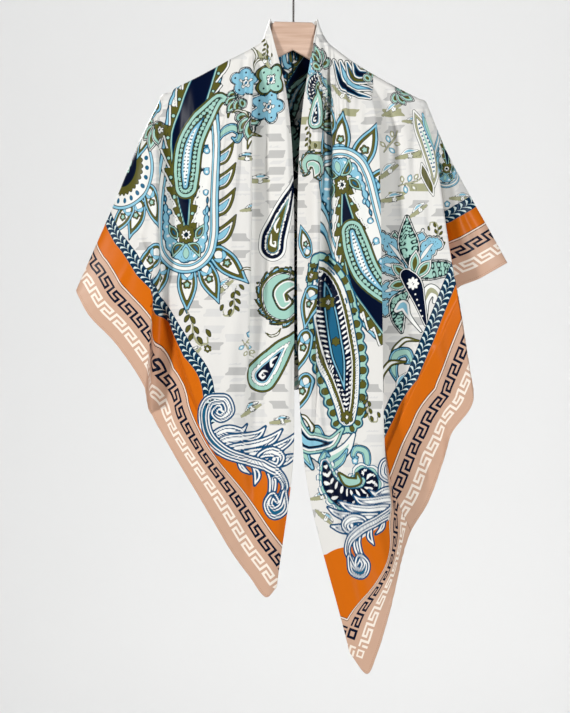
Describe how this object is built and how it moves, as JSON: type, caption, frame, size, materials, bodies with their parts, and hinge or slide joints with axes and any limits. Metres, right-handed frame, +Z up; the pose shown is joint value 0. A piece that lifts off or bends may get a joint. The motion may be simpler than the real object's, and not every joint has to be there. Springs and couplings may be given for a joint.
{
  "type": "silk square scarf on a wooden hanger",
  "caption": "Large printed satin square folded on the bias and hung round a wooden coat hanger, with two long front points, soft vertical folds and a short folded back.",
  "frame": {"origin": "inside of the hook's crown, where the hanger rests on a rail", "axes": "+Z up, +X along the hanger towards the longer point, -Y the front of the scarf"},
  "size_m": [0.5968, 0.108, 0.9857],
  "materials": {
    "silk_left": "satin, printed paisley on cream with a tan and orange border",
    "silk_back": "satin, printed paisley on cream",
    "silk_flap": "satin, tan and orange border with key bands",
    "silk_side": "satin, printed paisley on cream with a tan and orange border",
    "silk_right": "satin, printed paisley on cream with a tan and orange border",
    "hanger_wood": "pale varnished wood",
    "hook_wire": "dark wire"
  },
  "bodies": {
    "root": {"left_front_fall": "silk_left", "back_panel": "silk_back", "right_elbow_flap": "silk_flap", "right_side_panel": "silk_side", "right_front_fall": "silk_right", "hanger_wood": "hanger_wood", "hanger_hook": "hook_wire"}
  },
  "joints": []
}
